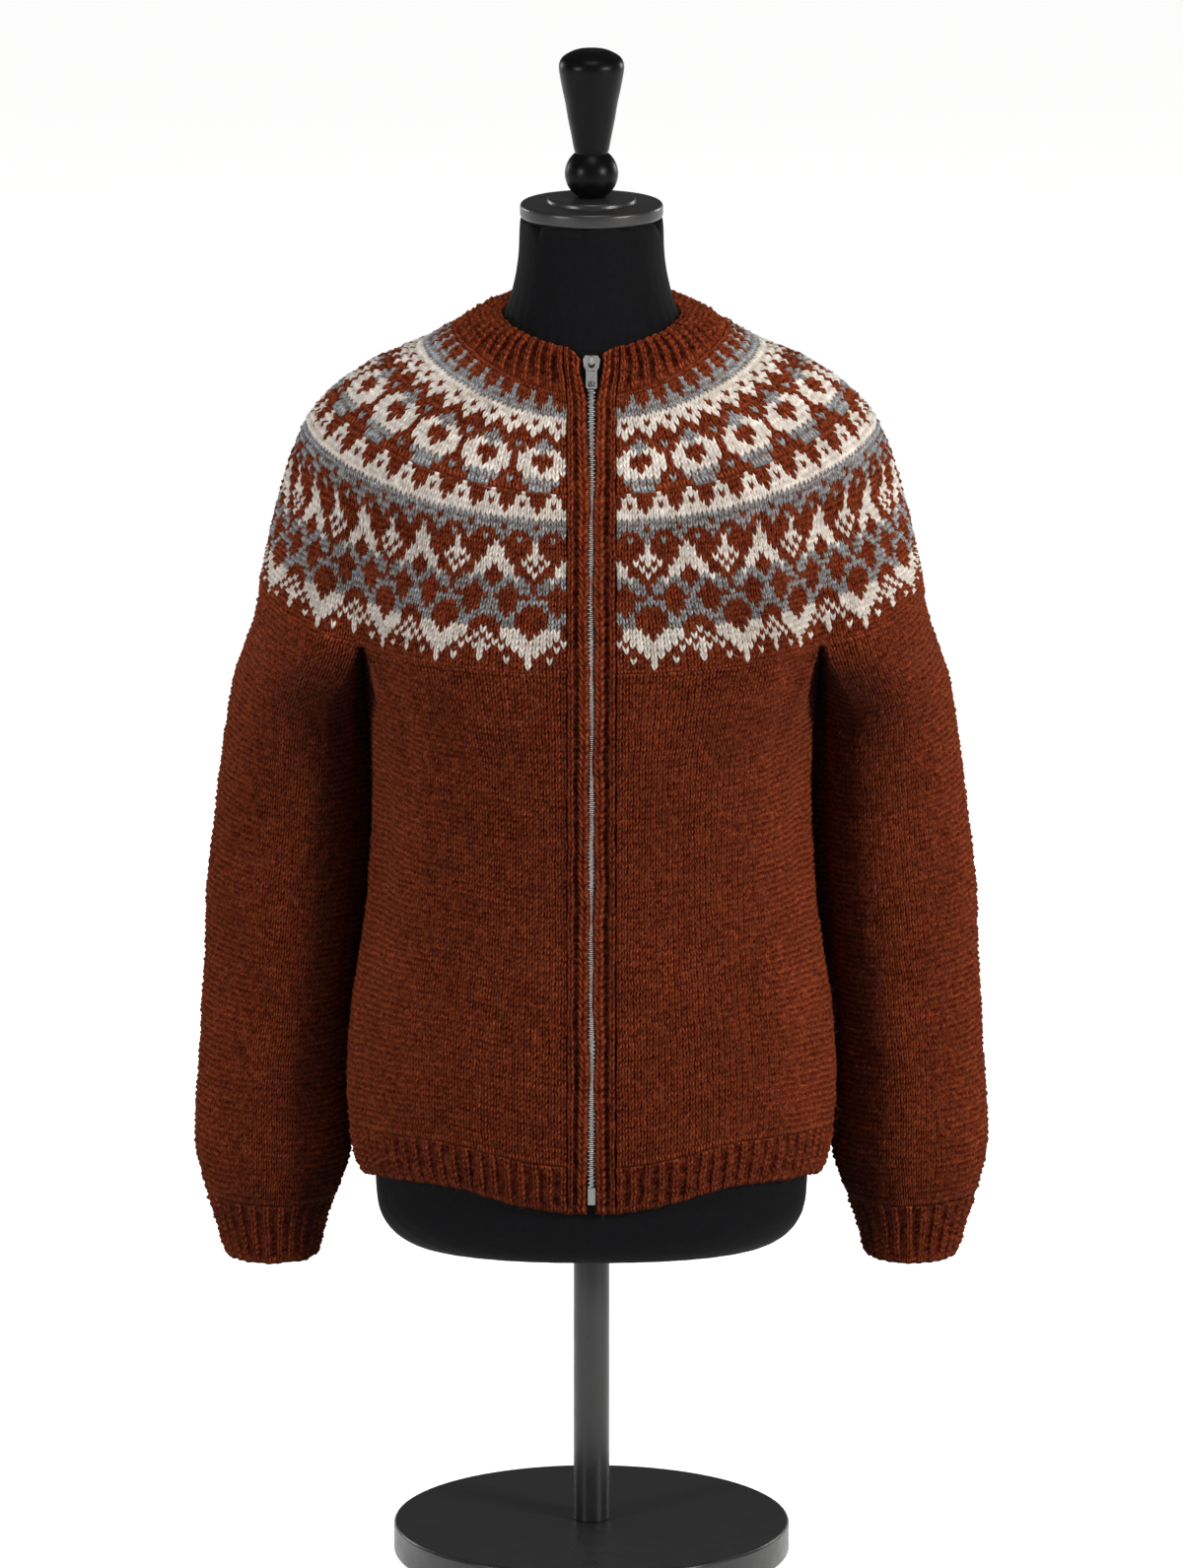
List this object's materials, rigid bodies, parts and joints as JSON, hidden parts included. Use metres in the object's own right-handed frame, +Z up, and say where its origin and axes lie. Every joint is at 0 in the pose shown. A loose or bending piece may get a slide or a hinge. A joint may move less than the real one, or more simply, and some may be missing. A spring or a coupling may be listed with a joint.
{
  "type": "icelandic zip-up sweater on a limbless dress form with a stand",
  "caption": "Hand-knit round-yoke zip cardigan in rust, grey and white wool, standing on a limbless black dress form with a turned finial and a round base.",
  "frame": {"origin": "middle of the base's underside, on the floor", "axes": "+Z up, front of the garment towards -Y, the wearer's left towards +X"},
  "size_m": [0.5784, 0.29, 1.118],
  "materials": {
    "rust_wool": "fuzzy heathered wool knit",
    "patterned_wool": "stranded wool knit in rust, grey and white",
    "zip_cloth": "woven tape",
    "zip_metal": "satin silver metal",
    "form_cloth": "stretched matte cloth",
    "black_paint": "satin black paint"
  },
  "bodies": {
    "dressed_form": {"base": "black_paint", "pole": "black_paint", "form": "form_cloth", "neck_cap": "black_paint", "finial": "black_paint", "neckband": "rust_wool", "yoke": "patterned_wool", "body": "rust_wool", "hem_rib": "rust_wool", "sleeve_left": "rust_wool", "sleeve_right": "rust_wool", "cuff_left": "rust_wool", "cuff_right": "rust_wool", "front_band_left": "rust_wool", "front_band_right": "rust_wool", "zip_tape_left": "zip_cloth", "zip_tape_right": "zip_cloth", "zip_chain": "zip_metal", "zip_box": "zip_metal", "zip_slider": "zip_metal"},
    "pull_tab": {"zip_pull": "zip_metal"}
  },
  "joints": [
    {"name": "pull_swing", "type": "hinge", "parent": "dressed_form", "child": "pull_tab", "pos_m": [0, -0.06971, 0.90221], "axis": [-1, 0, 0], "range_deg": [0, 150]}
  ]
}
